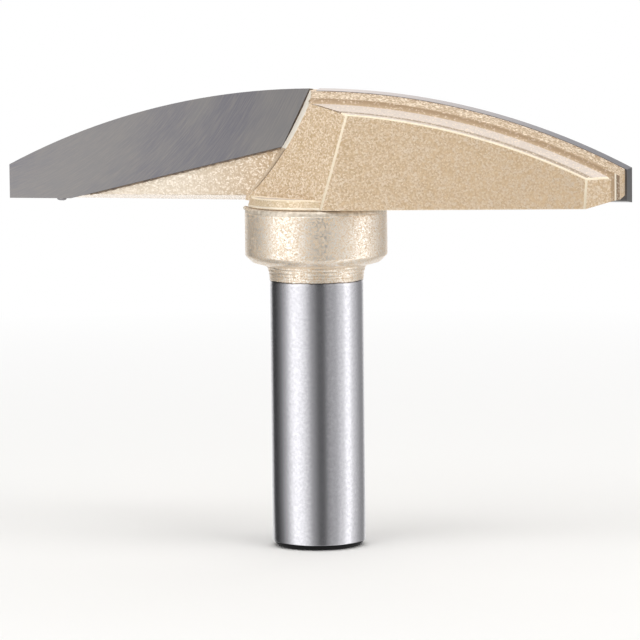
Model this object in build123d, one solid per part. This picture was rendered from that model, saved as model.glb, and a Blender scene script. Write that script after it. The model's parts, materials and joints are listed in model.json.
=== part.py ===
from build123d import *
import math
import os

# Two-wing router bit with a wide convex profile on a plain 12 mm shank.
# Origin: centre of the shank's end face. +Z runs up to the crown of the cutter, and the
# wings lie along X. One wing is built, on +X with its cutting face towards +Y, and the
# other is the same wing turned half way round the axis. Lengths are in millimetres.

# --- shank and collar -----------------------------------------------------------------
shank_radius = 6.0
end_chamfer = 0.7
ground_length = 34.4            # the part of the shank ground for the collet
neck_radius = 6.45              # top of the turned neck, under the collar
neck_bow = (0.08, 1.1)          # the neck flares from here, out from and above the ground shank
neck_top = 36.3
collar_radius = 9.15
collar_underside = 36.8
collar_bevel = 0.9              # bevel on the collar's lower rim
collar_edge = 43.15             # height where the upper chamfer starts
joint_height = 43.95            # the brazed joint between collar and cutter body
collar_chamfer_width = 0.75
spigot_radius = 4.0             # centres the cutter body on the collar
spigot_top = 48.5

# --- cutting profile ------------------------------------------------------------------
cutting_radius = 41.0           # half of the 82 mm cutting diameter
crown_height = 59.0             # height of the profile at the axis
crown_radius = 89.4             # radius of the large convex arc
arc_centre_z = crown_height - crown_radius

# --- carbide blades -------------------------------------------------------------------
blade_thickness = 2.5
blade_proud = 0.3               # the blade's face stands this far out of the gullet floor
blade_bottom = 44.65
blade_root = (4.3, 51.5)        # lower inner corner, (x, z)
blade_inner_top = (0.66, 58.87)
blade_heel_x = 32.7             # where the lower edge reaches the flat bottom
top_relief = 0.18               # how far the blade falls back behind its cutting edge
side_relief = 0.25
bottom_relief = 0.35            # the flat bottom rises this much towards the rear
braze_film = 0.1

# --- cutter body ----------------------------------------------------------------------
steel_setback = 0.25            # steel lies this far inside the cutting arc
steel_side_setback = 0.5
rib_back = 4.5                  # the raised rib behind the blade ends here
rib_drop = 1.0                  # setback of the rib's rear edge from the cutting arc
rib_side_drop = 0.8
ledge_drop = 1.55               # setback of the ledge's front edge, behind the rib
ledge_side_drop = 1.6
hub_depth = 8.6                 # half depth of the blank, before the back faces are cut
back_arc_radius = 75.6          # the ledge runs out to this arc at the full hub depth
back_arc_centre = (-1.55, -19.45)
back_tip_x = 32.7
ledge_fillet = 0.7              # cove in the corner between rib and ledge
back_face_root = (2.93, -8.4)   # plan line of the tapered back face
back_face_end = (36.0, -6.5)
back_face_lean = 2.0
facet_start = (-7.9, -2.95)     # plan line of the hub's slanted front facet
facet_end = (2.93, -8.4)
facet_lean = 9.7
underside_height = 45.2         # at the cutting face
underside_slope = 8.5           # degrees, down towards the back of the wing
tip_rise_start = 36.0           # the underside rises from here to the tip
tip_rise_slope = 11.0
lip_lower_radius = 8.75         # conical foot of the hub, on the collar
lip_upper_radius = 8.35
lip_top = 45.25

# --- gullet in front of each blade ----------------------------------------------------
gullet_wall = [(-0.5, 62.0), (4.42, 51.45), (12.45, 42.0)]   # three points of the wall's arc
gullet_turn = 18.5              # degrees, the wall runs out at this angle to the face

# --- room around the part, for blanks and cutting tools -------------------------------
hub_overlap = -12.0             # each wing's blank reaches past the axis to here
blank_floor = 40.0
tool_margin = 10.0              # cutting tools run on this far outside the steel
mask_reach = 1.4                # the blade's straight edges, as a share of their length
match = 0.01                    # how closely an edge has to lie on its size


def arc_height(x, radius, centre):
    return centre[1] + math.sqrt(radius ** 2 - (x - centre[0]) ** 2)


def wing_section(y, radius, centre, tip_x, floor=blank_floor, inner_x=hub_overlap):
    """A closed profile at depth y: convex arc on top, straight tip, floor and inner end."""
    mid_x = (inner_x + tip_x) / 2
    ends = [(x, arc_height(x, radius, centre)) for x in (inner_x, mid_x, tip_x)]
    outline = ThreePointArc(*ends) + Polyline(ends[2], (tip_x, floor), (inner_x, floor), ends[0])
    return Plane.XZ.offset(-y) * make_face(outline)


def crown_section(y, setback, side_setback, floor=blank_floor):
    """A profile parallel to the cutting profile, set back inside it."""
    return wing_section(y, crown_radius - setback, (0, arc_centre_z), cutting_radius - side_setback, floor)


def blade_mask(grow=0.0):
    """The blade's straight lower edge and inner end, running on past its other edges."""
    root = Vector(*blade_root)
    lower = Vector(blade_heel_x, blade_bottom) - root
    inner = Vector(*blade_inner_top) - root
    low_end = root + lower * mask_reach
    top_end = root + inner * mask_reach
    corners = [root, low_end, (low_end.X, top_end.Y), top_end]
    mask = make_face(Polyline(*corners, close=True))
    return offset(mask, grow, kind=Kind.INTERSECTION) if grow else mask


def between(mask, front, back):
    """Extrude a profile in XZ over the depth from y = front back to y = back."""
    return extrude(Plane.XZ.offset(-front) * mask, front - back)


def lean_plane(start, end, height, lean):
    """A plane standing on a plan line, facing -Y, its top leaning back by some degrees."""
    along = Vector(end[0] - start[0], end[1] - start[1], 0).normalized()
    normal = along.cross(Vector(0, 0, 1)).rotate(Axis((0, 0, 0), along), -lean)
    return Plane(origin=(*start, height), x_dir=along, z_dir=normal)


def half_turn(shape):
    return Rot(0, 0, 180) * shape


def make_shank():
    """Turned in one piece: chamfered shank, neck, collar and the spigot in the cutter."""
    bevel_radius = collar_radius - collar_bevel
    outline = Polyline(
        (0, 0),
        (shank_radius - end_chamfer, 0),
        (shank_radius, end_chamfer),
        (shank_radius, ground_length),
    )
    outline += ThreePointArc(
        (shank_radius, ground_length),
        (shank_radius + neck_bow[0], ground_length + neck_bow[1]),
        (neck_radius, neck_top),
    )
    outline += Polyline(
        (neck_radius, neck_top),
        (bevel_radius, collar_underside),
        (collar_radius, collar_underside + collar_bevel),
        (collar_radius, collar_edge),
        (collar_radius - collar_chamfer_width, joint_height),
        (spigot_radius, joint_height),
        (spigot_radius, spigot_top),
        (0, spigot_top),
        (0, 0),
    )
    return revolve(Plane.XZ * make_face(outline), Axis.Z)


def make_blade():
    """Ground carbide: the outer edges are relieved, the two brazed edges are square."""
    face = crown_section(blade_proud, 0, 0, blade_bottom)
    rear_bottom = blade_bottom + bottom_relief
    rear = crown_section(blade_proud - blade_thickness, top_relief, side_relief, rear_bottom)
    return loft([face, rear], ruled=True) & between(blade_mask(), tool_margin, -tool_margin)


def is_ledge_corner(edge):
    """True for the edges where the rib's rear wall meets the ledge, above the underside."""
    middle = edge.position_at(0.5)
    on_step = abs(middle.Y + rib_back) < match and edge.bounding_box().size.Y < match
    top = edge.geom_type == GeomType.CIRCLE and abs(edge.radius - (crown_radius - ledge_drop)) < match
    side = abs(middle.X - (cutting_radius - ledge_side_drop)) < match
    return on_step and (top or side)


def make_wing_blank():
    """Steel of one wing: seat zone, relieved rib, and the ledge falling to the back."""
    seat_back = blade_proud - blade_thickness - braze_film
    front = crown_section(0, steel_setback, steel_side_setback)
    seat = crown_section(seat_back, steel_setback, steel_side_setback)
    rib = crown_section(-rib_back, rib_drop, rib_side_drop)
    ledge = crown_section(-rib_back, ledge_drop, ledge_side_drop)
    rear = wing_section(-hub_depth, back_arc_radius, back_arc_centre, back_tip_x)
    blank = loft([front, seat], ruled=True) + loft([seat, rib], ruled=True)
    blank += loft([ledge, rear], ruled=True)
    corner = [e for e in blank.edges() if is_ledge_corner(e)]
    blank = fillet(corner, ledge_fillet)

    back_face = lean_plane(back_face_root, back_face_end, underside_height, back_face_lean)
    blank = split(blank, back_face, keep=Keep.BOTTOM)
    underside = Plane(origin=(0, 0, underside_height), x_dir=(1, 0, 0), z_dir=(0, 0, 1))
    underside = underside.rotated((underside_slope, 0, 0))
    blank = split(blank, underside, keep=Keep.TOP)
    rise_origin = underside.from_local_coords(Vector(tip_rise_start, 0, 0))
    tip_rise = Plane(origin=rise_origin, x_dir=underside.x_dir, z_dir=underside.z_dir)
    return split(blank, tip_rise.rotated((0, -tip_rise_slope, 0)), keep=Keep.TOP)


def gullet_cutter():
    """The space milled in front of a blade, with a hollow wall that runs up the hub."""
    top, _, foot = gullet_wall
    far = cutting_radius + tool_margin
    outline = ThreePointArc(*gullet_wall) + Polyline(foot, (far, foot[1]), (far, top[1]), top)
    turn = math.radians(gullet_turn)
    depth = hub_depth + tool_margin
    return extrude(Plane.XZ * make_face(outline), depth, dir=(-math.sin(turn), math.cos(turn), 0))


def facet_cutter():
    """A block standing on the hub's slanted facet, outside the steel."""
    facet = lean_plane(facet_start, facet_end, underside_height, facet_lean)
    width = (Vector(*facet_end) - Vector(*facet_start)).length
    block = Box(width + tool_margin, crown_height, tool_margin, align=(Align.CENTER, Align.CENTER, Align.MIN))
    return facet * Pos(width / 2, 0, 0) * block


def make_cutter_body():
    """Both wings on their hub, with gullets, facets, blade seats and the conical foot."""
    wing = make_wing_blank()
    body = wing + half_turn(wing)
    seat = between(blade_mask(braze_film), blade_proud, blade_proud - blade_thickness - braze_film)
    for tool in (gullet_cutter(), facet_cutter(), seat):
        body = body - tool - half_turn(tool)
    foot_height = lip_top - joint_height
    body += Pos(0, 0, joint_height) * Cone(
        lip_lower_radius, lip_upper_radius, foot_height, align=(Align.CENTER, Align.CENTER, Align.MIN)
    )
    bore_height = spigot_top - joint_height
    return body - Pos(0, 0, joint_height) * Cylinder(
        spigot_radius, bore_height, align=(Align.CENTER, Align.CENTER, Align.MIN)
    )


def make_blade_braze(blade):
    """The solder film between a blade and its seat: behind it, under it and at its end."""
    seat_back = blade_proud - blade_thickness - braze_film
    pocket = between(blade_mask(braze_film), 0, seat_back)
    return (pocket & make_wing_blank()) - blade


def make_collar_braze():
    """Solder ring in the corner between the collar's chamfer and the cutter body."""
    inner = collar_radius - collar_chamfer_width
    corner = make_face(Polyline(
        (inner, joint_height),
        (collar_radius, collar_edge),
        (lip_lower_radius, joint_height),
        close=True,
    ))
    return revolve(Plane.XZ * corner, Axis.Z)


blade_right = make_blade()
braze_right = make_blade_braze(blade_right)
nodes = {
    "shank": make_shank(),
    "cutter_body": make_cutter_body(),
    "collar_braze": make_collar_braze(),
    "blade_right": blade_right,
    "blade_left": half_turn(blade_right),
    "braze_right": braze_right,
    "braze_left": half_turn(braze_right),
}

os.makedirs("parts", exist_ok=True)
for name, shape in nodes.items():
    export_step(shape, f"parts/{name}.step")
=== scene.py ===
import json
import math

import bpy
from mathutils import Matrix, Vector

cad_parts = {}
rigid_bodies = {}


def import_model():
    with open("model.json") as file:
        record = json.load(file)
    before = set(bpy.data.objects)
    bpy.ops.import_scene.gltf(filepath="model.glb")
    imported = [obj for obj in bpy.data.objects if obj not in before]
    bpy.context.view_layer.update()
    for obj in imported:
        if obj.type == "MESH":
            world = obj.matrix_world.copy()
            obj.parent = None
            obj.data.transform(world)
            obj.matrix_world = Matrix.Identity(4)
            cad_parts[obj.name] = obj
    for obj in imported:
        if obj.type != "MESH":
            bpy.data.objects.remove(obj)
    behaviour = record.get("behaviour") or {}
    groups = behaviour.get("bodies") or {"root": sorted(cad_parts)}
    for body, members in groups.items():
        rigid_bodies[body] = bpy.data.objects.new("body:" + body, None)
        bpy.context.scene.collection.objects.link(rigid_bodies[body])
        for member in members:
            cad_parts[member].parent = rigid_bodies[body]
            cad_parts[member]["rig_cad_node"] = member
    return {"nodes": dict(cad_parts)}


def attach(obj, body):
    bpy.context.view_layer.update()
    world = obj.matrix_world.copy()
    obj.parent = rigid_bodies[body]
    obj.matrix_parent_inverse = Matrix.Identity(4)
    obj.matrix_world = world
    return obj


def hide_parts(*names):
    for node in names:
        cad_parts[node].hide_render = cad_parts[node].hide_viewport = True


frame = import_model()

# Arc-profile router bit: a turned shank and collar, a coated two-wing cutter body and two
# ground carbide blades. Metres, +Z up, the shank's end face on the floor.

mm = 0.001
far = 1000.0   # stands for no limit
scene = bpy.context.scene
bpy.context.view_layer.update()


def linearColour(code):
    parts = [int(code[i:i + 2], 16) / 255 for i in (1, 3, 5)]
    return [c / 12.92 if c <= 0.04045 else ((c + 0.055) / 1.055) ** 2.4 for c in parts] + [1.0]


def addNode(tree, kind, sockets=None, **settings):
    # a socket goes by its name or number, and takes a plain value or another node's output.
    # A Mix node's are 0 for the factor, 2 and 3 for two values and 6 and 7 for two colours
    node = tree.nodes.new(kind)
    for name, value in settings.items():
        setattr(node, name, value)
    for socket, value in (sockets or {}).items():
        if isinstance(value, bpy.types.NodeSocket):
            tree.links.new(value, node.inputs[socket])
        else:
            node.inputs[socket].default_value = value
    return node


def newMaterial(name):
    material = bpy.data.materials.new(name)
    material.use_nodes = True
    tree = material.node_tree
    tree.nodes.clear()
    coords = addNode(tree, "ShaderNodeTexCoord").outputs["Object"]
    return material, tree, coords


def selectOnly(obj):
    bpy.ops.object.select_all(action="DESELECT")
    obj.select_set(True)
    bpy.context.view_layer.objects.active = obj


def unpickAll(mesh):
    for part in (mesh.vertices, mesh.edges, mesh.polygons):
        part.foreach_set("select", [False] * len(part))


def applyModifiers(obj):
    selectOnly(obj)
    for modifier in list(obj.modifiers):
        bpy.ops.object.modifier_apply(modifier=modifier.name)


def settle(obj):
    # its place, turn and scale go into its mesh
    bpy.ops.object.transform_apply(location=True, rotation=True, scale=True)


def turnToOtherWing(obj):
    obj.rotation_euler.z = math.pi
    settle(obj)


def smoothByAngle(obj, degrees):
    selectOnly(obj)
    bpy.ops.object.shade_smooth_by_angle(angle=math.radians(degrees))


def dress(obj, material):
    obj.data.materials.clear()
    obj.data.materials.append(material)
    if "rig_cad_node" not in obj:
        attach(obj, "root")


steelFinish = {
    "metal": "#d3d2d6", "shade": "#b4b3b8", "mottleMm": 0.4,
    "roughness": (0.17, 0.25), "anisotropic": 0.55,
    # real grinding lines are too fine to show, so these are as wide as they need to be. They run round it
    "ringPitchMm": 0.16, "ringDepthMm": 0.0006, "ringStretch": 0.02,
    # painted dark reflection: near-black on the end chamfer and the end face, where the steel mirrors the
    # shaded floor under it
    "scale": "#1e1d1e", "darkChamferRoughness": 0.75, "darkChamferTopMm": 0.66, "darkChamferEdgeMm": 0.03,
}


def groundSteel():
    # centreless-ground tool steel: bright, with faint rings that stretch its reflections upwards
    material, tree, coords = newMaterial("groundToolSteel")
    s = steelFinish
    height = addNode(tree, "ShaderNodeSeparateXYZ", {0: coords}).outputs["Z"]
    mottle = addNode(tree, "ShaderNodeTexNoise", {
        "Vector": coords, "Scale": 1 / (s["mottleMm"] * mm), "Detail": 3.0, "Roughness": 0.6}).outputs[0]
    stretched = addNode(tree, "ShaderNodeMapping", {
        "Vector": coords, "Scale": (s["ringStretch"], s["ringStretch"], 1.0)}).outputs[0]
    rings = addNode(tree, "ShaderNodeTexNoise", {
        "Vector": stretched, "Scale": 1 / (s["ringPitchMm"] * mm), "Detail": 2.0}).outputs[0]
    metal = addNode(tree, "ShaderNodeMix", {
        0: mottle, 6: linearColour(s["metal"]), 7: linearColour(s["shade"])}, data_type="RGBA").outputs[2]
    polish = addNode(tree, "ShaderNodeMapRange", {
        "Value": mottle, "From Min": 0.3, "From Max": 0.7,
        "To Min": s["roughness"][0], "To Max": s["roughness"][1]}).outputs["Result"]
    # painted dark reflection on the end chamfer: near-black below this height
    paintedDarkChamfer = addNode(tree, "ShaderNodeMapRange", {
        "Value": height, "From Min": s["darkChamferTopMm"] * mm,
        "From Max": (s["darkChamferTopMm"] + s["darkChamferEdgeMm"]) * mm,
        "To Min": 1.0, "To Max": 0.0}).outputs["Result"]
    colour = addNode(tree, "ShaderNodeMix", {
        0: paintedDarkChamfer, 6: metal, 7: linearColour(s["scale"])}, data_type="RGBA").outputs[2]
    roughness = addNode(tree, "ShaderNodeMix", {0: paintedDarkChamfer, 2: polish, 3: s["darkChamferRoughness"]}).outputs[0]
    bump = addNode(tree, "ShaderNodeBump", {
        "Height": rings, "Strength": 1.0, "Distance": s["ringDepthMm"] * mm}).outputs[0]
    tangent = addNode(tree, "ShaderNodeTangent", direction_type="RADIAL", axis="Z").outputs[0]
    shader = addNode(tree, "ShaderNodeBsdfPrincipled", {
        "Base Color": colour, "Metallic": 1.0, "Roughness": roughness,
        "Anisotropic": s["anisotropic"], "Tangent": tangent, "Normal": bump})
    addNode(tree, "ShaderNodeOutputMaterial", {"Surface": shader.outputs[0]})
    return material


coatFinish = {
    "lacquer": "#e0c49e", "shade": "#c5a67e", "flake": "#fbebd7",
    "grainMm": 0.30, "flakeMm": 0.17, "flakeShare": 0.34, "flakeRoughness": 0.36,
    "lacquerRoughness": 0.5, "bumpMm": 0.008,
}
# each zone of the cutter body: its material, and what sets its coat apart from the plain one.
# A fade turns to another tone between two distances from the axis, and back where there are four.
# They are taken in the plan direction "toward", on planes that lean in by "lean" degrees
bodyCoats = {
    # over the back faces and the facets of the hub
    "plain": ("champagneFlakeLacquer", {}),
    # rounded edges, thin and pale: a painted highlight along them
    "paintedHighlightEdge": ("paintedHighlightLacquer", {
        "lacquer": "#fff3dc", "shade": "#f9e8ca", "flakeShare": 0.15, "bumpMm": 0.002,
        "lacquerRoughness": 0.7}),
    # behind the rib, smooth and painted pale as a reflection, with a brown line of painted shade before its
    # rear edge
    "ledge": ("paintedSheenLedgeLacquer", {
        "lacquer": "#dccfc4", "shade": "#d2c4b8", "flakeShare": 0.15, "bumpMm": 0.001,
        "fades": [{"toward": (-0.045, 0.9983), "lean": 2, "mm": (9.05, 9.25, 9.45, 9.6),
                   "tone": "#a08a70"}]}),
    # in front of the blade, painted pale as light, and tan towards the root as painted shade from the hub
    "gullet": ("paintedLightGulletLacquer", {
        "lacquer": "#f2e5d2", "shade": "#e6d5bd", "flake": "#fff4e6", "flakeShare": 0.27,
        "flakeRoughness": 0.46,
        "fades": [{"toward": (1, 0), "lean": 0, "mm": (18, 6), "tone": "#cdb08a"}]}),
    # the corner between rib and ledge, painted brown as shade, with a pale painted highlight line and a
    # dark painted shade line at the tip
    "cove": ("paintedShadeCoveLacquer", {
        "lacquer": "#ccb292", "shade": "#bb9f7c", "flakeShare": 0.1,
        "fades": [{"toward": (0, 1), "lean": 0, "mm": (4.9, 4.6), "tone": "#b49878"},
                  {"toward": (1, 0), "lean": 0, "mm": (39.54, 39.58), "tone": "#fff6e4"},
                  {"toward": (1, 0), "lean": 0, "mm": (39.74, 39.80), "tone": "#7f6244"}]}),
    # behind the blade, coarse, and browner next to it
    "rib": ("coarseRibLacquer", {
        "lacquer": "#c4aa88", "shade": "#aa8d6c", "flake": "#f6e6d0", "flakeMm": 0.22, "flakeShare": 0.36,
        "fades": [{"toward": (0, 1), "lean": 0, "mm": (2.85, 2.55), "tone": "#a5886a"}]}),
    # the upper wall of the gullet, painted nearly white as light
    "wall": ("paintedLightWallLacquer", {
        "lacquer": "#fffaf0", "shade": "#f6ead6", "flakeShare": 0.0, "bumpMm": 0.002,
        "lacquerRoughness": 0.8}),
    # rolled edges beside the gullet's wall, painted dark as shade
    "shadedEdge": ("paintedShadeEdgeLacquer", {
        "lacquer": "#9c8165", "shade": "#826a50", "flakeShare": 0.1, "bumpMm": 0.002}),
    # smooth and glossy, with more flake
    "underside": ("glossyUndersideLacquer", {
        "flakeRoughness": 0.2, "lacquerRoughness": 0.22, "flakeShare": 0.5, "bumpMm": 0.001}),
    # the cone on the collar, with a pale line of painted highlight along its lower edge
    "foot": ("footLacquer", {
        "lacquer": "#e3cdaa", "shade": "#d3b990", "flakeShare": 0.3,
        "fades": [{"toward": (0, 0), "lean": 45, "mm": (44.32, 44.26), "tone": "#fff3de"}]}),
}
collarFinish = {
    **coatFinish, "lacquer": "#ead4b8", "shade": "#dabf9b", "flake": "#fffaf2", "flakeShare": 0.5,
    "flakeMm": 0.12, "grainMm": 0.26, "flakeRoughness": 0.3, "lacquerRoughness": 0.42,
    # the coat ends in a ragged edge on the ground shank, with a thin dark line under it: the painted shadow
    # of the coat's lip
    "bare": {"metal": "#c9c8cc", "roughness": 0.2, "line": "#6b6056", "topMm": 34.47, "ragMm": 0.32,
             "ragPitchMm": 0.9, "edgeMm": (-0.02, 0.02), "shadowLineMm": (-0.16, -0.10)},
}


def champagneCoat(name, s):
    # sprayed lacquer with coarse bright flake: tan and satin, and whitish where flakes catch a lamp
    material, tree, coords = newMaterial(name)
    grain = addNode(tree, "ShaderNodeTexNoise", {
        "Vector": coords, "Scale": 1 / (s["grainMm"] * mm), "Detail": 2.0, "Roughness": 0.55}).outputs[0]
    cells = addNode(tree, "ShaderNodeTexVoronoi", {"Vector": coords, "Scale": 1 / (s["flakeMm"] * mm)})
    tone = addNode(tree, "ShaderNodeSeparateColor", {0: cells.outputs["Color"]}).outputs[0]
    patches = addNode(tree, "ShaderNodeMapRange", {
        "Value": grain, "From Min": 0.3, "From Max": 0.7}).outputs["Result"]
    lacquer = addNode(tree, "ShaderNodeMix", {
        0: patches, 6: linearColour(s["shade"]), 7: linearColour(s["lacquer"])},
        data_type="RGBA").outputs[2]
    strongest = 0.9   # a fade leaves a little of the coat's own tone
    for f in s.get("fades", []):
        # the plan distance is taken without its sign, so that both wings are alike
        plan = addNode(tree, "ShaderNodeVectorMath", {0: coords, 1: (*f["toward"], 0)},
                       operation="DOT_PRODUCT").outputs["Value"]
        plan = addNode(tree, "ShaderNodeMath", {0: plan}, operation="ABSOLUTE").outputs[0]
        slope = math.tan(math.radians(f["lean"]))
        rise = addNode(tree, "ShaderNodeVectorMath", {0: coords, 1: (0, 0, slope)},
                       operation="DOT_PRODUCT").outputs["Value"]
        reach = addNode(tree, "ShaderNodeMath", {0: plan, 1: rise}, operation="ADD").outputs[0]
        fade = addNode(tree, "ShaderNodeMapRange", {
            "Value": reach, "From Min": f["mm"][0] * mm, "From Max": f["mm"][1] * mm,
            "To Min": 0.0, "To Max": strongest}).outputs["Result"]
        if len(f["mm"]) > 2:
            back = addNode(tree, "ShaderNodeMapRange", {
                "Value": reach, "From Min": f["mm"][2] * mm, "From Max": f["mm"][3] * mm,
                "To Min": strongest, "To Max": 0.0}).outputs["Result"]
            fade = addNode(tree, "ShaderNodeMath", {0: fade, 1: back}, operation="MINIMUM").outputs[0]
        lacquer = addNode(tree, "ShaderNodeMix", {
            0: fade, 6: lacquer, 7: linearColour(f["tone"])}, data_type="RGBA").outputs[2]
    # a cell is a flake where its random tone is over a limit, which falls as the share of flakes grows
    limitLow, limitHigh = 0.9 - 1.6 * s["flakeShare"], 1.3 - 0.6 * s["flakeShare"]
    flakes = addNode(tree, "ShaderNodeMapRange", {
        "Value": tone, "From Min": limitLow, "From Max": limitHigh}).outputs["Result"]
    colour = addNode(tree, "ShaderNodeMix", {
        0: flakes, 6: lacquer, 7: linearColour(s["flake"])}, data_type="RGBA").outputs[2]
    roughness = addNode(tree, "ShaderNodeMapRange", {
        "Value": flakes, "To Min": s["lacquerRoughness"], "To Max": s["flakeRoughness"]}).outputs["Result"]
    metallic = flakes
    if "bare" in s:
        b = s["bare"]
        rag = addNode(tree, "ShaderNodeTexNoise", {
            "Vector": coords, "Scale": 1 / (b["ragPitchMm"] * mm), "Detail": 2.0}).outputs[0]
        height = addNode(tree, "ShaderNodeSeparateXYZ", {0: coords}).outputs["Z"]
        lift = addNode(tree, "ShaderNodeMath", {0: rag, 1: b["ragMm"] * mm, 2: height},
                       operation="MULTIPLY_ADD").outputs[0]
        edge = b["topMm"] + b["ragMm"] / 2
        low, high = ((edge + value) * mm for value in b["edgeMm"])
        covered = addNode(tree, "ShaderNodeMapRange", {
            "Value": lift, "From Min": low, "From Max": high}).outputs["Result"]
        # the dark line under the coat's edge is a painted shadow
        low, high = ((edge + value) * mm for value in b["shadowLineMm"])
        paintedShadowLine = addNode(tree, "ShaderNodeMapRange", {
            "Value": lift, "From Min": low, "From Max": high}).outputs["Result"]
        metal = addNode(tree, "ShaderNodeMix", {
            0: paintedShadowLine, 6: linearColour(b["metal"]), 7: linearColour(b["line"])}, data_type="RGBA").outputs[2]
        colour = addNode(tree, "ShaderNodeMix", {0: covered, 6: metal, 7: colour},
                         data_type="RGBA").outputs[2]
        roughness = addNode(tree, "ShaderNodeMix", {0: covered, 2: b["roughness"], 3: roughness}).outputs[0]
        metallic = addNode(tree, "ShaderNodeMix", {0: covered, 2: 1.0, 3: metallic}).outputs[0]
    bump = addNode(tree, "ShaderNodeBump", {
        "Height": grain, "Strength": 1.0, "Distance": s["bumpMm"] * mm}).outputs[0]
    shader = addNode(tree, "ShaderNodeBsdfPrincipled", {
        "Base Color": colour, "Metallic": metallic, "Roughness": roughness, "Normal": bump})
    addNode(tree, "ShaderNodeOutputMaterial", {"Surface": shader.outputs[0]})
    return material


carbideFinish = {
    "base": "#807e7e", "cloud": "#737278", "warm": "#918c88", "roughness": (0.30, 0.42),
    # the relieved land behind the cutting edge: a painted reflection, bright at the crown and dimmer
    # towards the tip
    "landReflectionBright": "#d0c5c0", "landReflectionDim": "#77747a", "landMm": (5, 33),
    # the grinding wheel's centre (x, z) beside each blade and its radius, which the marks follow.
    # Real marks are too fine to show, so these are as wide as they need to be
    "wheelCentreMm": (52.5, 83.4), "wheelRadiusMm": 45,
    "markMm": 0.14, "markStretch": 20, "markDepthMm": 0.0016, "cloudMm": 9.0, "cloudStretch": 2.5,
}


def groundCarbide():
    # surface-ground tungsten carbide: cool grey, with fine arcs left by a cup wheel
    material, tree, coords = newMaterial("groundCarbide")
    s = carbideFinish
    place = addNode(tree, "ShaderNodeSeparateXYZ", {0: coords})
    out = addNode(tree, "ShaderNodeMath", {0: place.outputs["X"]}, operation="ABSOLUTE").outputs[0]
    # every place is taken by its distance from the wheel's centre and its length along the arc
    centreX, centreZ = (value * mm for value in s["wheelCentreMm"])
    across = addNode(tree, "ShaderNodeMath", {0: out, 1: centreX}, operation="SUBTRACT").outputs[0]
    down = addNode(tree, "ShaderNodeMath", {0: place.outputs["Z"], 1: centreZ},
                   operation="SUBTRACT").outputs[0]
    plane = addNode(tree, "ShaderNodeCombineXYZ", {0: across, 1: down}).outputs[0]
    radius = addNode(tree, "ShaderNodeVectorMath", {0: plane}, operation="LENGTH").outputs["Value"]
    turn = addNode(tree, "ShaderNodeMath", {0: down, 1: across}, operation="ARCTAN2").outputs[0]
    arc = addNode(tree, "ShaderNodeMath", {0: turn, 1: s["wheelRadiusMm"] * mm},
                  operation="MULTIPLY").outputs[0]
    markArc = addNode(tree, "ShaderNodeMath", {0: arc, 1: 1 / s["markStretch"]},
                      operation="MULTIPLY").outputs[0]
    wheel = addNode(tree, "ShaderNodeCombineXYZ", {0: radius, 1: markArc, 2: place.outputs["Y"]}).outputs[0]
    marks = addNode(tree, "ShaderNodeTexNoise", {
        "Vector": wheel, "Scale": 1 / (s["markMm"] * mm), "Detail": 3.0, "Roughness": 0.6}).outputs[0]
    cloudArc = addNode(tree, "ShaderNodeMath", {0: arc, 1: 1 / s["cloudStretch"]},
                       operation="MULTIPLY").outputs[0]
    long = addNode(tree, "ShaderNodeCombineXYZ", {0: radius, 1: cloudArc, 2: place.outputs["Y"]}).outputs[0]
    clouds = addNode(tree, "ShaderNodeTexNoise", {
        "Vector": long, "Scale": 1 / (s["cloudMm"] * mm), "Detail": 5.0, "Roughness": 0.6}).outputs[0]
    clouded = addNode(tree, "ShaderNodeMapRange", {
        "Value": clouds, "From Min": 0.42, "From Max": 0.62}).outputs["Result"]
    marked = addNode(tree, "ShaderNodeMapRange", {
        "Value": marks, "From Min": 0.42, "From Max": 0.7, "To Min": 0.0, "To Max": 0.6}).outputs["Result"]
    colour = addNode(tree, "ShaderNodeMix", {
        0: clouded, 6: linearColour(s["base"]), 7: linearColour(s["cloud"])}, data_type="RGBA").outputs[2]
    colour = addNode(tree, "ShaderNodeMix", {
        0: marked, 6: colour, 7: linearColour(s["warm"])}, data_type="RGBA").outputs[2]
    # the up-facing land gets a painted reflection, dimmer towards the tip
    facing = addNode(tree, "ShaderNodeSeparateXYZ", {0: coords.node.outputs["Normal"]}).outputs["Z"]
    land = addNode(tree, "ShaderNodeMapRange", {
        "Value": facing, "From Min": 0.6, "From Max": 0.7}).outputs["Result"]
    reflectionFade = addNode(tree, "ShaderNodeMapRange", {
        "Value": out, "From Min": s["landMm"][0] * mm, "From Max": s["landMm"][1] * mm}).outputs["Result"]
    paintedLandReflection = addNode(tree, "ShaderNodeMix", {
        0: reflectionFade, 6: linearColour(s["landReflectionBright"]), 7: linearColour(s["landReflectionDim"])},
        data_type="RGBA").outputs[2]
    colour = addNode(tree, "ShaderNodeMix", {0: land, 6: colour, 7: paintedLandReflection}, data_type="RGBA").outputs[2]
    roughness = addNode(tree, "ShaderNodeMapRange", {
        "Value": marks, "From Min": 0.3, "From Max": 0.7,
        "To Min": s["roughness"][0], "To Max": s["roughness"][1]}).outputs["Result"]
    bump = addNode(tree, "ShaderNodeBump", {
        "Height": marks, "Strength": 1.0, "Distance": s["markDepthMm"] * mm}).outputs[0]
    shader = addNode(tree, "ShaderNodeBsdfPrincipled", {
        "Base Color": colour, "Metallic": 1.0, "Roughness": roughness, "Normal": bump})
    addNode(tree, "ShaderNodeOutputMaterial", {"Surface": shader.outputs[0]})
    return material


solderFinish = {"base": "#efe4d4", "dull": "#c6b8a5", "lumpMm": 0.5, "bumpMm": 0.03,
                "roughness": 0.45, "metallic": 0.35}
# flux and soot darken the seams, and what faces up is painted lighter as light from above
seamFinish = {"base": "#a8937d", "dull": "#75665a", "top": "#d2bfa9", "lumpMm": 0.4, "bumpMm": 0.03,
              "roughness": 0.6, "metallic": 0.1}
dropFinish = {**seamFinish, "base": "#a5a2a4", "dull": "#858286", "roughness": 0.5, "metallic": 0.5}


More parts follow.
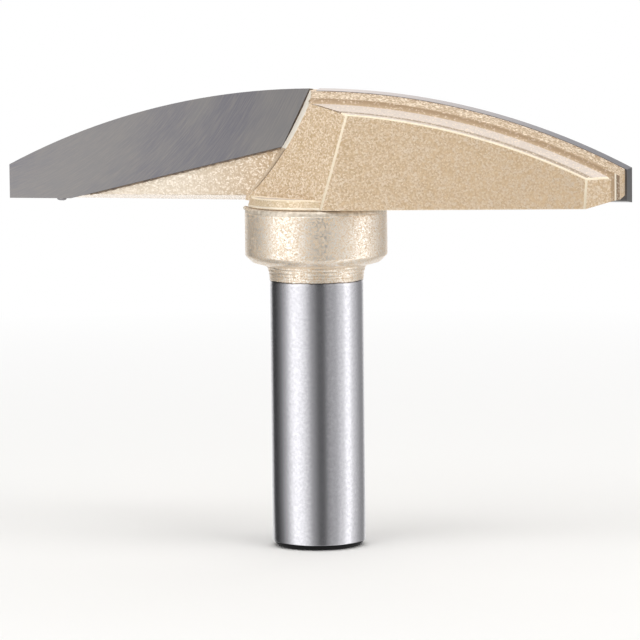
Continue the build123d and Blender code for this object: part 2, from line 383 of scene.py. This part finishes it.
def silverSolder(name, s):
    # silver brazing alloy under a thin overspray: greyer than the coat, with a frozen, lumpy skin
    material, tree, coords = newMaterial(name)
    lumps = addNode(tree, "ShaderNodeTexNoise", {
        "Vector": coords, "Scale": 1 / (s["lumpMm"] * mm), "Detail": 3.0}).outputs[0]
    patches = addNode(tree, "ShaderNodeMapRange", {
        "Value": lumps, "From Min": 0.35, "From Max": 0.7}).outputs["Result"]
    colour = addNode(tree, "ShaderNodeMix", {
        0: patches, 6: linearColour(s["dull"]), 7: linearColour(s["base"])}, data_type="RGBA").outputs[2]
    if "top" in s:
        # up-facing faces are painted lighter as light from above
        facing = addNode(tree, "ShaderNodeSeparateXYZ", {0: coords.node.outputs["Normal"]}).outputs["Z"]
        paintedLitTop = addNode(tree, "ShaderNodeMapRange", {
            "Value": facing, "From Min": 0.6, "From Max": 0.7}).outputs["Result"]
        colour = addNode(tree, "ShaderNodeMix", {
            0: paintedLitTop, 6: colour, 7: linearColour(s["top"])}, data_type="RGBA").outputs[2]
    bump = addNode(tree, "ShaderNodeBump", {
        "Height": lumps, "Strength": 1.0, "Distance": s["bumpMm"] * mm}).outputs[0]
    shader = addNode(tree, "ShaderNodeBsdfPrincipled", {
        "Base Color": colour, "Metallic": s["metallic"], "Roughness": s["roughness"], "Normal": bump})
    addNode(tree, "ShaderNodeOutputMaterial", {"Surface": shader.outputs[0]})
    return material


steel = groundSteel()
coats = {zone: champagneCoat(name, {**coatFinish, **own}) for zone, (name, own) in bodyCoats.items()}
collarCoat = champagneCoat("brightCollarLacquer", collarFinish)
carbide = groundCarbide()
solder = silverSolder("silverSolder", solderFinish)
seam = silverSolder("fluxedBrazeSeam", seamFinish)
dropSolder = silverSolder("greySolderDrop", dropFinish)
print("materials ready")


def turnPiece(name, stations, segments=144):
    # a lathe profile of (radius, height) in mm from the bottom up: a disc, then an extrusion per station
    radius, height = stations[0]
    bpy.ops.object.select_all(action="DESELECT")
    bpy.ops.mesh.primitive_circle_add(vertices=segments, radius=radius * mm, fill_type="NGON",
                                      location=(0, 0, height * mm))
    piece = bpy.context.object
    piece.name = piece.data.name = name
    settle(piece)
    bpy.ops.object.mode_set(mode="EDIT")
    bpy.ops.mesh.select_all(action="SELECT")
    for nextRadius, nextHeight in stations[1:]:
        bpy.ops.mesh.extrude_region_move(
            TRANSFORM_OT_translate={"value": (0, 0, (nextHeight - height) * mm)})
        grow = nextRadius / radius
        bpy.ops.transform.resize(value=(grow, grow, 1), center_override=(0, 0, 0))
        radius, height = nextRadius, nextHeight
    bpy.ops.mesh.select_all(action="SELECT")
    bpy.ops.mesh.normals_make_consistent(inside=False)
    bpy.ops.object.mode_set(mode="OBJECT")
    return piece


def evenSteps(start, end, steps):
    # stations on a straight line between two, the first left out
    return [tuple(a + (b - a) * k / steps for a, b in zip(start, end)) for k in range(1, steps + 1)]


shankShape = {
    # (radius, height) of the chamfered end, with its edges just broken, then the ground length
    "end": [(5.23, 0.0), (5.3, 0.02), (5.93, 0.658), (5.9755, 0.7), (6.0, 0.77)],
    "top": (6.0, 34.45), "steps": 6, "smooth": 30,
}


def makeShank():
    s = shankShape
    stations = s["end"] + evenSteps(s["end"][-1], s["top"], s["steps"])
    shank = turnPiece("shankGround", stations)
    smoothByAngle(shank, s["smooth"])
    dress(shank, steel)


collarShape = {
    # the coat's lower end is a skin over the shank, thin up to its ragged edge and thicker above it
    "skin": [(5.95, 34.0), (6.012, 34.02), (6.012, 34.46), (6.04, 34.51)],
    # the neck flares out with turning rings, unevenly spaced by the drift (how much, how often)
    "neckTop": (6.45, 36.3), "neckSteps": 40, "neckFlare": 2.2,
    "neckRings": 5, "neckRingDepth": 0.035, "neckRingDrift": (2.1, 5), "neckRingsFrom": 0.25,
    "undersideRim": (8.25, 36.8), "undersideSteps": 12, "undersideRings": 3, "undersideRingDepth": 0.03,
    "bevel": [(9.05, 37.58), (9.13, 37.72), (9.15, 37.82)],
    "sideTop": (9.15, 43.05), "sideSteps": 8,
    "shoulder": [(9.12, 43.15), (9.05, 43.25), (8.42, 43.94)],
    "smooth": 35,
}


def makeCollar():
    s = collarShape
    stations = list(s["skin"])
    drift, driftPace = s["neckRingDrift"]
    startRadius, startHeight = stations[-1]
    neckRadius, neckHeight = s["neckTop"]
    for k in range(1, s["neckSteps"] + 1):
        t = k / s["neckSteps"]
        radius = startRadius + (neckRadius - startRadius) * t ** s["neckFlare"]
        wave = math.sin(2 * math.pi * s["neckRings"] * t + drift * math.sin(driftPace * t))
        depth = s["neckRingDepth"] * min(1, t / s["neckRingsFrom"])
        stations.append((radius + depth * wave, startHeight + (neckHeight - startHeight) * t))
    rimRadius, rimHeight = s["undersideRim"]
    for k in range(1, s["undersideSteps"] + 1):
        t = k / s["undersideSteps"]
        wave = math.sin(2 * math.pi * s["undersideRings"] * t)
        dip = s["undersideRingDepth"] * wave * (1 - t)   # the rings die out towards the rim
        stations.append((neckRadius + (rimRadius - neckRadius) * t,
                         neckHeight + (rimHeight - neckHeight) * t - dip))
    stations += s["bevel"] + evenSteps(s["bevel"][-1], s["sideTop"], s["sideSteps"]) + s["shoulder"]
    collar = turnPiece("collarCoated", stations)
    smoothByAngle(collar, s["smooth"])
    dress(collar, collarCoat)
    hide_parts("shank")


makeShank()
makeCollar()
print("shank and collar turned")

bodyShape = {
    "weld": 0.055, "flatAngle": 0.4,        # closer points are one point, flatter faces are one face
    "sharpAngle": 20, "shortest": 0.25,     # an edge is rounded where it is sharper and longer than this
    "widestRound": 0.28, "roundSegments": 2,
    "strayed": 0.15,                        # a point this far off the steel is a stray of the rounding
    # how much of the widest rounding each kind of edge gets
    "rounding": {"hub": 0.65, "ledge": 0.5, "rim": 0.6, "tip": 0.6, "rib": 0.4, "facetTop": 0.35,
                 "wall": 0.45, "underside": 0.3},
}
# where each kind of edge is, in mm on the half in front of the axis: the place of its middle, with the
# distance from the axis (radius), and how far it climbs. The first row that holds it gives its kind
edgePlaces = [
    ("rim", {"z": (45.2, 45.3), "radius": (0, 8.9), "climb": (-far, 0.05)}),
    ("rim", {"z": (-far, 43.99), "radius": (8.4, far), "climb": (-far, 0.05)}),
    ("underside", {"x": (2.6, far), "y": (-far, -6), "z": (-far, 45.6), "climb": (-far, 0.4)}),
    (None, {"z": (-far, 45.6), "climb": (-far, 1.2)}),
    ("tip", {"x": (35.9, far), "y": (-far, -4.52), "z": (46, far)}),
    ("rib", {"x": (5.4, 39), "y": (-4.52, -4.48), "climb": (-far, 2)}),
    ("hub", {"x": (2.8, 5.3), "y": (-far, -7.3), "climb": (5, far)}),
    ("ledge", {"x": (5.14, far), "y": (-far, -6.2)}),
    ("facetTop", {"x": (1.2, 5.2), "y": (-far, -5.2), "z": (56, far)}),
    ("wall", {"x": (-far, 0.2), "y": (-4.8, -2.5), "z": (44.8, 57.2)}),
]
# where each coat is, in the same way, with how far the face looks up (up), to the right (right) and
# along x or y whichever way (alongX, alongY). A face that no row holds has the plain coat
undersidePlace = ("underside", {"z": (43.9, far), "up": (-far, -0.9)})
roundedPlaces = [
    undersidePlace,
    ("wall", {"x": (-far, 0.2), "y": (-4.9, far), "z": (51.3, far)}),
    # pale rounded faces carry a painted highlight, dark ones painted shade
    ("paintedHighlightEdge", {"x": (-far, 0.2), "y": (-4.9, far), "z": (45.4, far), "right": (-far, -0.75)}),
    ("shadedEdge", {"x": (-far, 0.2), "y": (-4.9, far), "z": (45.4, far)}),
    ("cove", {"x": (0.6, far), "y": (-5.02, far), "z": (45.6, far)}),
    ("shadedEdge", {"x": (1.2, 4.9), "y": (-7.2, far), "z": (56, far)}),
    ("paintedHighlightEdge", {"z": (43.8, far)}),
]
milledPlaces = [
    undersidePlace,
    ("foot", {"y": (-far, -2.9), "z": (44, 45.2), "radius": (-far, 8.8), "up": (-0.5, 0.5)}),
    ("ledge", {"y": (-far, -5.02), "up": (0.35, far)}),
    ("gullet", {"y": (-0.1, far), "z": (44, far), "alongY": (0.98, far)}),
    ("cove", {"x": (38.9, far), "y": (-5.22, -4.4), "up": (-far, 0.25)}),
    ("cove", {"x": (0.3, far), "y": (-5.02, -4.4), "z": (45.3, far)}),
    ("rib", {"y": (-4.5, -2.2), "up": (0.7, far)}),
    ("wall", {"x": (-far, 0), "z": (51.3, far), "up": (0.3, far), "alongX": (0.6, far)}),
    ("gullet", {"x": (-far, 0), "z": (45.3, far), "up": (0.3, far), "alongX": (0.6, far)}),
]


def firstHolding(places, values, other):
    for name, limits in places:
        if all(low < values[key] < high for key, (low, high) in limits.items()):
            return name
    return other


def nearSide(point):
    # both wings are alike, so every place is judged on the half in front of the axis
    x, y, z = (value / mm for value in point)
    onAxis = 0.02
    side = -1 if y > onAxis or (abs(y) <= onAxis and x > 0) else 1
    return {"side": side, "x": side * x, "y": side * y, "z": z, "radius": math.hypot(x, y)}


def edgeKind(a, b):
    if (a - b).length <= bodyShape["shortest"] * mm:
        return None
    values = {**nearSide((a + b) / 2), "climb": abs(a.z - b.z) / mm}
    return firstHolding(edgePlaces, values, None)


def bodyZone(face):
    values = nearSide(face.center)
    x, y, z = face.normal
    values.update({"up": z, "right": values["side"] * x, "alongX": abs(x), "alongY": abs(y)})
    return firstHolding(roundedPlaces if face.material_index else milledPlaces, values, "plain")


def roundEdges(body):
    # every kind of sharp edge is picked by its place and told how much of the rounding it takes
    s = bodyShape
    mesh = body.data
    kinds = {}
    for edge in mesh.edges:
        if edge.select:
            a, b = (mesh.vertices[v].co for v in edge.vertices)
            kinds.setdefault(edgeKind(a, b), []).append(edge.index)
    for kind, share in s["rounding"].items():
        unpickAll(mesh)
        for index in kinds.get(kind, []):
            mesh.edges[index].select = True
        bpy.ops.object.mode_set(mode="EDIT")
        bpy.ops.mesh.select_mode(type="EDGE")
        bpy.ops.transform.edge_bevelweight(value=share)
        bpy.ops.object.mode_set(mode="OBJECT")
    bevel = body.modifiers.new("edges", "BEVEL")
    bevel.width = s["widestRound"] * mm
    bevel.segments = s["roundSegments"]
    bevel.limit_method = "WEIGHT"
    bevel.use_clamp_overlap = False
    bevel.material = 1   # marks the rounded faces until each face gets its zone


def mergeStrays(body, source):
    # a bevel that ends among thin triangles throws a few points off: each is merged into its neighbour
    mesh = body.data

    def strayed(point):
        return (point - source.closest_point_on_mesh(point)[1]).length > bodyShape["strayed"] * mm

    while any(strayed(vertex.co) for vertex in mesh.vertices):
        stray = next(vertex for vertex in mesh.vertices if strayed(vertex.co))
        ends = [edge.vertices for edge in mesh.edges if stray.index in edge.vertices]
        others = [a if b == stray.index else b for a, b in ends]
        others = [index for index in others if not strayed(mesh.vertices[index].co)] or others
        nearest = min(others, key=lambda index: (mesh.vertices[index].co - stray.co).length)
        unpickAll(mesh)
        stray.select = mesh.vertices[nearest].select = True
        scene.cursor.location = mesh.vertices[nearest].co
        bpy.ops.object.mode_set(mode="EDIT")
        bpy.ops.mesh.select_mode(type="VERT")
        bpy.ops.mesh.merge(type="CURSOR")
        bpy.ops.object.mode_set(mode="OBJECT")
    scene.cursor.location = (0, 0, 0)


def makeCutterBody():
    s = bodyShape
    source = frame["nodes"]["cutter_body"]
    body = bpy.data.objects.new("cutterBodyCoated", source.data.copy())
    scene.collection.objects.link(body)
    selectOnly(body)
    bpy.ops.object.mode_set(mode="EDIT")
    bpy.ops.mesh.select_all(action="SELECT")
    bpy.ops.mesh.remove_doubles(threshold=s["weld"] * mm)
    bpy.ops.mesh.dissolve_degenerate(threshold=s["weld"] * mm)
    bpy.ops.mesh.dissolve_limited(angle_limit=math.radians(s["flatAngle"]))
    bpy.ops.mesh.normals_make_consistent(inside=False)
    bpy.ops.mesh.select_all(action="DESELECT")
    bpy.ops.mesh.edges_select_sharp(sharpness=math.radians(s["sharpAngle"]))
    bpy.ops.object.mode_set(mode="OBJECT")
    roundEdges(body)
    smoothByAngle(body, s["sharpAngle"])
    dress(body, coats["plain"])
    zones = list(coats)
    for zone in zones[1:]:
        body.data.materials.append(coats[zone])
    applyModifiers(body)
    mergeStrays(body, source)
    body.modifiers.new("flats", "WEIGHTED_NORMAL").keep_sharp = True   # milled flats are shaded flat
    applyModifiers(body)
    for face in body.data.polygons:
        face.material_index = zones.index(bodyZone(face))
    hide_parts("cutter_body")


makeCutterBody()
print("cutter body rounded")


def roughen(piece, lumpMm, depthMm):
    # frozen lumps, from a cloud texture that pushes the skin in and out
    clouds = bpy.data.textures.new(piece.name + "Lumps", "CLOUDS")
    clouds.noise_scale = lumpMm * mm
    lumps = piece.modifiers.new("lumps", "DISPLACE")
    lumps.texture = clouds
    lumps.texture_coords = "LOCAL"
    lumps.strength = depthMm * mm
    lumps.mid_level = 0.5
    applyModifiers(piece)


def addDrop(place, size):
    # a frozen drop of solder, from a ball of 1 mm that is squashed to its half sizes
    bpy.ops.object.select_all(action="DESELECT")
    bpy.ops.mesh.primitive_ico_sphere_add(subdivisions=3, radius=mm, location=Vector(place) * mm)
    drop = bpy.context.object
    drop.scale = size
    settle(drop)
    return drop


ringShape = {
    "profile": [(8.3, 43.08), (9.08, 43.10), (9.1, 43.25), (9.09, 43.42), (9.04, 43.58), (8.94, 43.72),
                (8.80, 43.82), (8.4, 43.86)],
    "segments": 288, "lumpMm": 1.1, "lumpDepth": 0.09, "smooth": 50,
    "drop": {"side": 193, "radius": 9.0, "height": 43.75, "size": (0.34, 0.30, 0.26)},
}


def makeSolderRing():
    s = ringShape
    ring = turnPiece("solderRing", s["profile"], s["segments"])
    d = s["drop"]
    turn = math.radians(d["side"])
    drop = addDrop((d["radius"] * math.cos(turn), d["radius"] * math.sin(turn), d["height"]), d["size"])
    selectOnly(ring)
    drop.select_set(True)
    bpy.ops.object.join()
    roughen(ring, s["lumpMm"], s["lumpDepth"])
    smoothByAngle(ring, s["smooth"])
    dress(ring, solder)
    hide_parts("collar_braze")


# start and end are (x, z) under the left blade, and face is their y
beadShape = {"start": (-4.45, 51.36), "end": (-30.1, 45.18), "face": -0.04, "radius": 0.15, "sides": 8,
             "rings": 240, "lumpMm": 0.55, "lumpDepth": 0.2, "smooth": 60}


def makeBead(name, otherWing):
    # the thin, dark run of solder and flux under a blade's lower edge
    s = beadShape
    start, end = (Vector((x, s["face"], z)) * mm for x, z in (s["start"], s["end"]))
    run = end - start
    bpy.ops.object.select_all(action="DESELECT")
    bpy.ops.mesh.primitive_cylinder_add(vertices=s["sides"], radius=s["radius"] * mm, depth=run.length,
                                        location=(start + end) / 2,
                                        rotation=run.to_track_quat("Z", "Y").to_euler())
    bead = bpy.context.object
    bead.name = bead.data.name = name
    settle(bead)
    bpy.ops.object.mode_set(mode="EDIT")
    bpy.ops.mesh.select_all(action="DESELECT")
    bpy.ops.mesh.select_mode(type="EDGE")
    bpy.ops.object.mode_set(mode="OBJECT")
    points = bead.data.vertices
    for edge in bead.data.edges:
        a, b = (points[v].co for v in edge.vertices)
        edge.select = (a - b).length > run.length / 2   # the edges that run along it
    bpy.ops.object.mode_set(mode="EDIT")
    bpy.ops.mesh.subdivide(number_cuts=s["rings"])
    bpy.ops.object.mode_set(mode="OBJECT")
    if otherWing:
        turnToOtherWing(bead)
    roughen(bead, s["lumpMm"], s["lumpDepth"])
    smoothByAngle(bead, s["smooth"])
    dress(bead, seam)


heelDrop = {"place": (-34.0, -0.05, 44.60), "size": (0.62, 0.22, 0.26), "lumpMm": 0.6, "lumpDepth": 0.12,
            "smooth": 60}


def makeHeelDrop(name, otherWing):
    # a frozen drop hangs from the heel of the blade, where the run ends
    s = heelDrop
    drop = addDrop(s["place"], s["size"])
    drop.name = drop.data.name = name
    if otherWing:
        turnToOtherWing(drop)
    roughen(drop, s["lumpMm"], s["lumpDepth"])
    smoothByAngle(drop, s["smooth"])
    dress(drop, dropSolder)


makeSolderRing()
for side, otherWing in (("Left", False), ("Right", True)):
    makeBead("solderBead" + side, otherWing)
    makeHeelDrop("heelDrop" + side, otherWing)
print("solder run in")

for name in ("blade_left", "blade_right"):
    dress(frame["nodes"][name], carbide)
for name in ("braze_left", "braze_right"):
    dress(frame["nodes"][name], seam)
print("blades and solder dressed")

# the aim is to the right of the axis as the camera sees it, and up from the floor
cameraSet = {
    "azimuth": 13.4, "elevation": 5.97, "roll": -0.59, "distanceMm": 545.0, "aimMm": (0.38, 29.15),
    "sensorMm": 36, "focalPixels": 4230.5, "framePixels": 640, "clip": (0.01, 50),
}
studio = {
    "floorSize": 12.0, "floor": "#f2f1ef", "whiteFrom": 0.06, "whiteTo": 0.30, "world": 0.5,
    "gap": 0.00002,   # keeps the shank's end face and the floor out of one plane
    "lampAim": (0, 0, 0.035),
    # side from the camera in degrees (+ right), elevation, distance, width, height, brightness
    "lamps": {
        "keyLeft": (-50, 52, 0.70, 0.45, 0.45, 1.95),
        "keyRight": (55, 50, 0.70, 0.45, 0.45, 2.4),
        "top": (0, 88, 0.75, 0.70, 0.70, 0.8),
        "back": (172, 50, 0.80, 0.60, 0.40, 0.9),
    },
}
# a drum of card strips round the bit, which only its reflections see: side from the camera, brightness
tent = {
    "radius": 0.22, "bottom": -0.07, "top": 0.24, "sides": 96, "full": 2.0,
    "strips": [(-180, 1.1), (-152, 1.1), (-142, 0.06), (-122, 0.06), (-104, 0.20), (-82, 0.72),
               (-70, 1.45), (-60, 1.9), (-44, 1.75), (-27, 1.15), (-16, 0.52), (-3, 0.31), (0, 0.14),
               (18, 0.14), (21, 0.46), (34, 0.62), (48, 0.62), (52, 0.95), (69, 1.2), (73, 2.0), (87, 1.9),
               (91, 1.2), (106, 0.82), (124, 0.42), (146, 0.35), (156, 1.1), (180, 1.1)],
}


def addLamp(name, side, elevation, distance, width, height, brightness):
    data = bpy.data.lights.new(name, "AREA")
    data.shape = "RECTANGLE"
    data.size, data.size_y = width, height
    data.energy = brightness * math.pi * width * height   # so the lamp's own face is this bright
    lamp = bpy.data.objects.new(name, data)
    scene.collection.objects.link(lamp)
    e, turn = math.radians(elevation), math.radians(cameraSet["azimuth"] + side)
    away = Vector((math.sin(turn), -math.cos(turn), 0)) * math.cos(e) + Vector((0, 0, math.sin(e)))
    lamp.location = Vector(studio["lampAim"]) + away * distance
    lamp.rotation_euler = (-away).to_track_quat("-Z", "Y").to_euler()
    lamp.visible_camera = False


def paleFloor():
    # matt white paper: lit like paper close to the bit, and fading to plain white far from it
    material, tree, coords = newMaterial("whitePaper")
    paper = addNode(tree, "ShaderNodeBsdfDiffuse", {"Color": linearColour(studio["floor"])}).outputs[0]
    white = addNode(tree, "ShaderNodeEmission", {"Color": (1, 1, 1, 1), "Strength": 1.0}).outputs[0]
    distance = addNode(tree, "ShaderNodeVectorMath", {0: coords}, operation="LENGTH").outputs["Value"]
    fade = addNode(tree, "ShaderNodeMapRange", {
        "Value": distance, "From Min": studio["whiteFrom"],
        "From Max": studio["whiteTo"]}).outputs["Result"]
    path = addNode(tree, "ShaderNodeLightPath").outputs
    seen = addNode(tree, "ShaderNodeMath", {0: path["Is Camera Ray"], 1: path["Is Glossy Ray"]},
                   operation="MAXIMUM").outputs[0]
    seen = addNode(tree, "ShaderNodeMath", {0: seen, 1: path["Is Transmission Ray"]},
                   operation="MAXIMUM").outputs[0]
    factor = addNode(tree, "ShaderNodeMath", {0: seen, 1: fade}, operation="MULTIPLY").outputs[0]
    mixed = addNode(tree, "ShaderNodeMixShader", {0: factor, 1: paper, 2: white}).outputs[0]
    addNode(tree, "ShaderNodeOutputMaterial", {"Surface": mixed})
    return material


def stripCards():
    # lit card in greys and white: an even glow that puts upright bands on the ground steel
    material, tree, coords = newMaterial("stripCards")
    turned = addNode(tree, "ShaderNodeMapping", {
        "Vector": coords, "Rotation": (0, 0, math.radians(90 - cameraSet["azimuth"]))}).outputs[0]
    around = addNode(tree, "ShaderNodeTexGradient", {"Vector": turned}, gradient_type="RADIAL").outputs[1]
    ramp = addNode(tree, "ShaderNodeValToRGB", {0: around})
    elements = ramp.color_ramp.elements
    for place, (side, level) in enumerate(tent["strips"]):
        position = side / 360 + 0.5
        element = elements[place] if place < 2 else elements.new(position)   # a new ramp has two
        element.position = position
        element.color = [level / tent["full"]] * 3 + [1]
    glow = addNode(tree, "ShaderNodeEmission", {"Color": ramp.outputs[0], "Strength": tent["full"]})
    addNode(tree, "ShaderNodeOutputMaterial", {"Surface": glow.outputs[0]})
    return material


def makeTent():
    t = tent
    bpy.ops.object.select_all(action="DESELECT")
    bpy.ops.mesh.primitive_circle_add(vertices=t["sides"], radius=t["radius"], fill_type="NGON",
                                      location=(0, 0, t["bottom"]))
    drum = bpy.context.object
    drum.name = "stripTent"
    settle(drum)
    bpy.ops.object.mode_set(mode="EDIT")
    bpy.ops.mesh.select_all(action="SELECT")
    bpy.ops.mesh.extrude_region_move(TRANSFORM_OT_translate={"value": (0, 0, t["top"] - t["bottom"])})
    bpy.ops.mesh.delete(type="ONLY_FACE")   # the drum is open at the top
    bpy.ops.object.mode_set(mode="OBJECT")
    drum.data.materials.append(stripCards())
    drum.visible_camera = drum.visible_diffuse = drum.visible_shadow = False
    drum.visible_transmission = drum.visible_volume_scatter = False


for name, values in studio["lamps"].items():
    addLamp(name, *values)

bpy.ops.object.select_all(action="DESELECT")
bpy.ops.mesh.primitive_plane_add(size=studio["floorSize"], location=(0, 0, -studio["gap"]))
floor = bpy.context.object
floor.name = "floor"
floor.data.materials.append(paleFloor())
floor.visible_glossy = False   # the tent goes on below it, so the shank's bands run straight down
makeTent()

world = bpy.data.worlds.new("studioWorld")
world.use_nodes = True
background = world.node_tree.nodes["Background"]
background.inputs["Color"].default_value = (1, 1, 1, 1)
background.inputs["Strength"].default_value = studio["world"]
scene.world = world

azimuth, elevation, roll = (math.radians(cameraSet[k]) for k in ("azimuth", "elevation", "roll"))
forward = Vector((-math.sin(azimuth) * math.cos(elevation), math.cos(azimuth) * math.cos(elevation),
                  -math.sin(elevation)))
right = Vector((math.cos(azimuth), math.sin(azimuth), 0))
up = right.cross(forward)
rolledRight = right * math.cos(roll) + up * math.sin(roll)
rolledUp = up * math.cos(roll) - right * math.sin(roll)
across, aimHeight = cameraSet["aimMm"]
aim = (right * across + Vector((0, 0, aimHeight))) * mm
cameraData = bpy.data.cameras.new("camera")
cameraData.sensor_width = cameraSet["sensorMm"]
cameraData.lens = cameraSet["focalPixels"] * cameraSet["sensorMm"] / cameraSet["framePixels"]
cameraData.clip_start, cameraData.clip_end = cameraSet["clip"]
camera = bpy.data.objects.new("camera", cameraData)
scene.collection.objects.link(camera)
turn = Matrix((rolledRight, rolledUp, -forward)).transposed()
camera.matrix_world = Matrix.Translation(aim - forward * cameraSet["distanceMm"] * mm) @ turn.to_4x4()
scene.camera = camera
scene.view_settings.view_transform = "Standard"
print("studio and camera placed")
